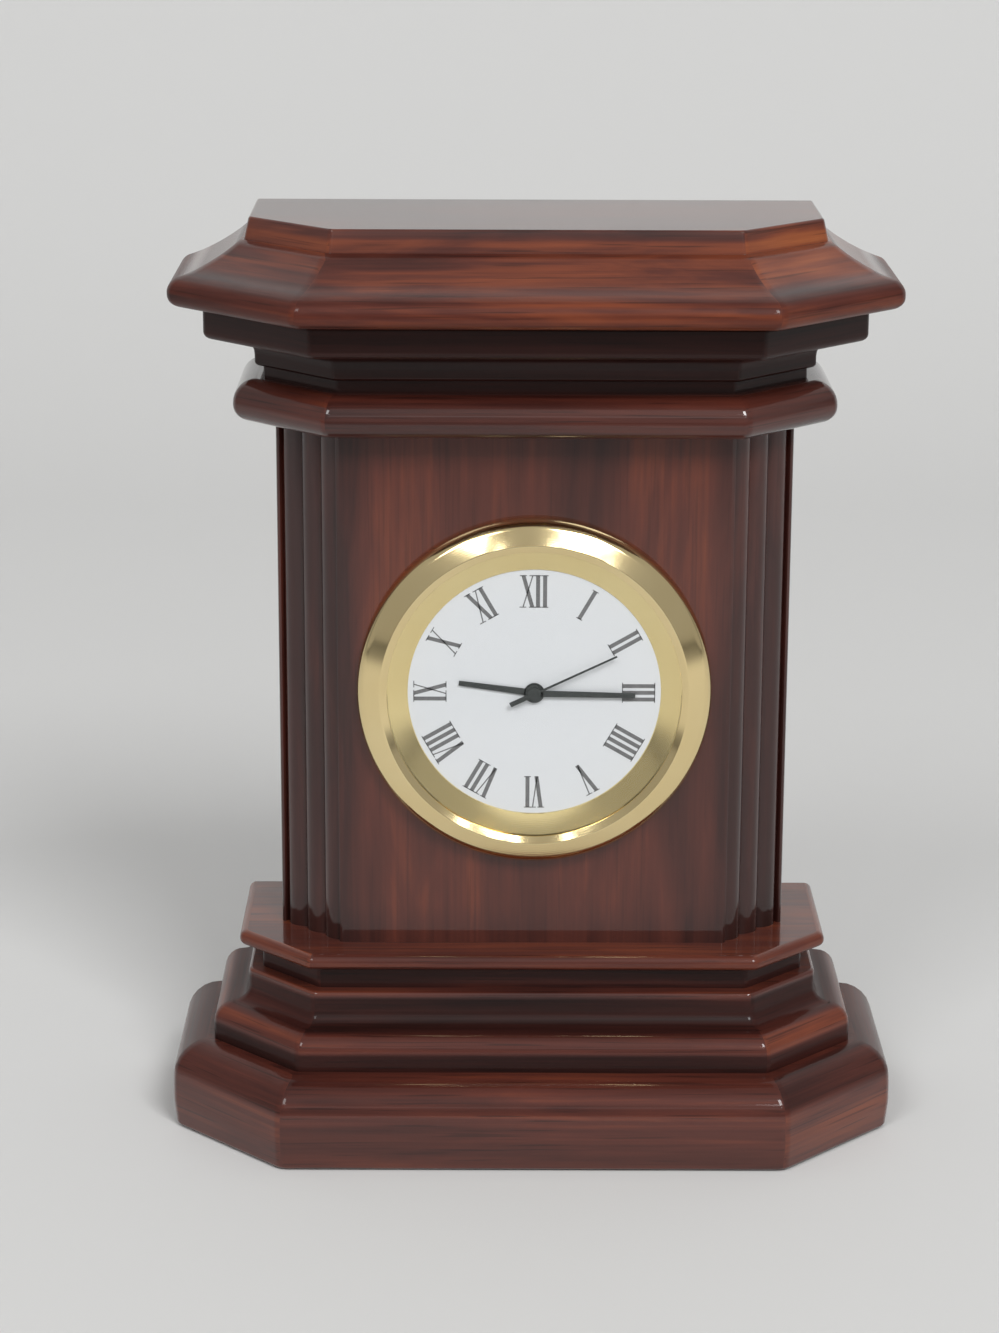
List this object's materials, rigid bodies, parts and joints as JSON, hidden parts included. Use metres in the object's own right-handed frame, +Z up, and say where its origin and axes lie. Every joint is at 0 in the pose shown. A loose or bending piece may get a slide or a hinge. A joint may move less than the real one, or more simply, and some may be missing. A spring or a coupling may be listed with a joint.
{
  "type": "desk clock",
  "caption": "Wooden desk clock: an upright block between a stepped base and a moulded cornice holds a round brass-rimmed clock insert that pulls out at the front.",
  "frame": {"origin": "middle of the clock's footprint, on the surface that it stands on", "axes": "+Z up; the dial faces -Y; +X is to the right as seen from the front"},
  "size_m": [0.1046, 0.042, 0.1323],
  "materials": {
    "lacquered_wood": "thick gloss lacquer over red-brown stain",
    "plain_wood": "bare beech",
    "felt": "dark green felt",
    "steel": "zinc-plated",
    "brass": "polished and lacquered",
    "lens_glass": "clear",
    "dial_white": "satin white with dark numerals",
    "hands_dark": "satin dark grey",
    "can_metal": "plain pressed metal",
    "rubber": "matt",
    "black_plastic": "fine matt",
    "movement_plastic": "moulded",
    "wheel_plastic": "moulded",
    "pinion_brass": "turned",
    "magnet": "sintered magnet on a plastic pinion",
    "core_steel": "stamped",
    "copper": "enamelled copper wire",
    "nickel": "bright",
    "circuit_board": "solder resist",
    "crystal_can": "drawn can"
  },
  "bodies": {
    "case": {"base_plinth": "lacquered_wood", "felt_pad": "felt", "base_cove_moulding": "lacquered_wood", "base_cap_moulding": "lacquered_wood", "shaft_block": "lacquered_wood", "cornice_bead": "lacquered_wood", "cornice_neck": "lacquered_wood", "cornice_slab": "lacquered_wood", "crown_moulding": "lacquered_wood", "top_board": "lacquered_wood", "base_screws": "steel", "cornice_dowels": "plain_wood"},
    "insert": {"bezel": "brass", "lens": "lens_glass", "reflector_ring": "brass", "dial": "dial_white", "movement_can": "can_metal", "grip_ring": "rubber", "dial_seat": "movement_plastic", "main_plate": "movement_plastic", "train_bridge": "movement_plastic", "movement_screws": "steel", "coil_core": "core_steel", "coil_bobbin": "movement_plastic", "coil_winding": "copper", "stator": "core_steel", "button_cell": "nickel", "minus_contact": "nickel", "plus_clip": "nickel", "circuit_board": "circuit_board", "quartz_crystal": "crystal_can", "driver_chip": "black_plastic"},
    "rear_cover": {"rear_cover": "black_plastic"},
    "setting_knob": {"setting_knob": "black_plastic", "setting_arbor": "pinion_brass"},
    "hour_hand": {"hour_hand": "hands_dark", "hour_wheel": "wheel_plastic"},
    "minute_hand": {"minute_hand": "hands_dark", "cannon_pinion": "pinion_brass"},
    "seconds_hand": {"seconds_hand": "hands_dark", "seconds_wheel": "wheel_plastic"},
    "minute_wheel": {"minute_wheel": "wheel_plastic"},
    "centre_wheel": {"centre_wheel": "wheel_plastic"},
    "third_wheel": {"third_wheel": "wheel_plastic"},
    "intermediate_wheel": {"intermediate_wheel": "wheel_plastic"},
    "rotor": {"rotor": "magnet"}
  },
  "joints": [
    {"name": "insert_pull", "type": "slide", "parent": "case", "child": "insert", "axis": [0, -1, 0], "range_m": [0, 0.03]},
    {"name": "cover_lift", "type": "slide", "parent": "insert", "child": "rear_cover", "axis": [0, 1, 0], "range_m": [0, 0.012]},
    {"name": "minute_turn", "type": "hinge", "parent": "insert", "child": "minute_hand", "pos_m": [0, -0.0052, 0.0668], "axis": [0, 1, 0], "continuous": true},
    {"name": "hour_turn", "type": "hinge", "parent": "insert", "child": "hour_hand", "pos_m": [0, -0.0052, 0.0668], "axis": [0, 1, 0], "continuous": true},
    {"name": "minute_wheel_turn", "type": "hinge", "parent": "insert", "child": "minute_wheel", "pos_m": [-0.0052, -0.0052, 0.0638], "axis": [0, 1, 0], "continuous": true},
    {"name": "setting_turn", "type": "hinge", "parent": "insert", "child": "setting_knob", "pos_m": [-0.00725, -0.0052, 0.05816], "axis": [0, 1, 0], "continuous": true},
    {"name": "seconds_turn", "type": "hinge", "parent": "insert", "child": "seconds_hand", "pos_m": [0, -0.0052, 0.0668], "axis": [0, 1, 0], "continuous": true},
    {"name": "third_turn", "type": "hinge", "parent": "insert", "child": "third_wheel", "pos_m": [0, -0.0052, 0.07292], "axis": [0, 1, 0], "continuous": true},
    {"name": "centre_turn", "type": "hinge", "parent": "insert", "child": "centre_wheel", "pos_m": [0, -0.0052, 0.0668], "axis": [0, 1, 0], "continuous": true},
    {"name": "intermediate_turn", "type": "hinge", "parent": "insert", "child": "intermediate_wheel", "pos_m": [0.00499, -0.0052, 0.06392], "axis": [0, 1, 0], "continuous": true},
    {"name": "rotor_turn", "type": "hinge", "parent": "insert", "child": "rotor", "pos_m": [0.00671, -0.0052, 0.05918], "axis": [0, 1, 0], "continuous": true}
  ],
  "couplings": [
    {"joint": "hour_turn", "follows": "minute_turn", "ratio": 0.083333},
    {"joint": "minute_wheel_turn", "follows": "minute_turn", "ratio": -0.33333},
    {"joint": "setting_turn", "follows": "minute_turn", "ratio": 1},
    {"joint": "third_turn", "follows": "seconds_turn", "ratio": -0.13333},
    {"joint": "centre_turn", "follows": "seconds_turn", "ratio": 0.016667},
    {"joint": "intermediate_turn", "follows": "seconds_turn", "ratio": -5},
    {"joint": "rotor_turn", "follows": "seconds_turn", "ratio": 30}
  ]
}
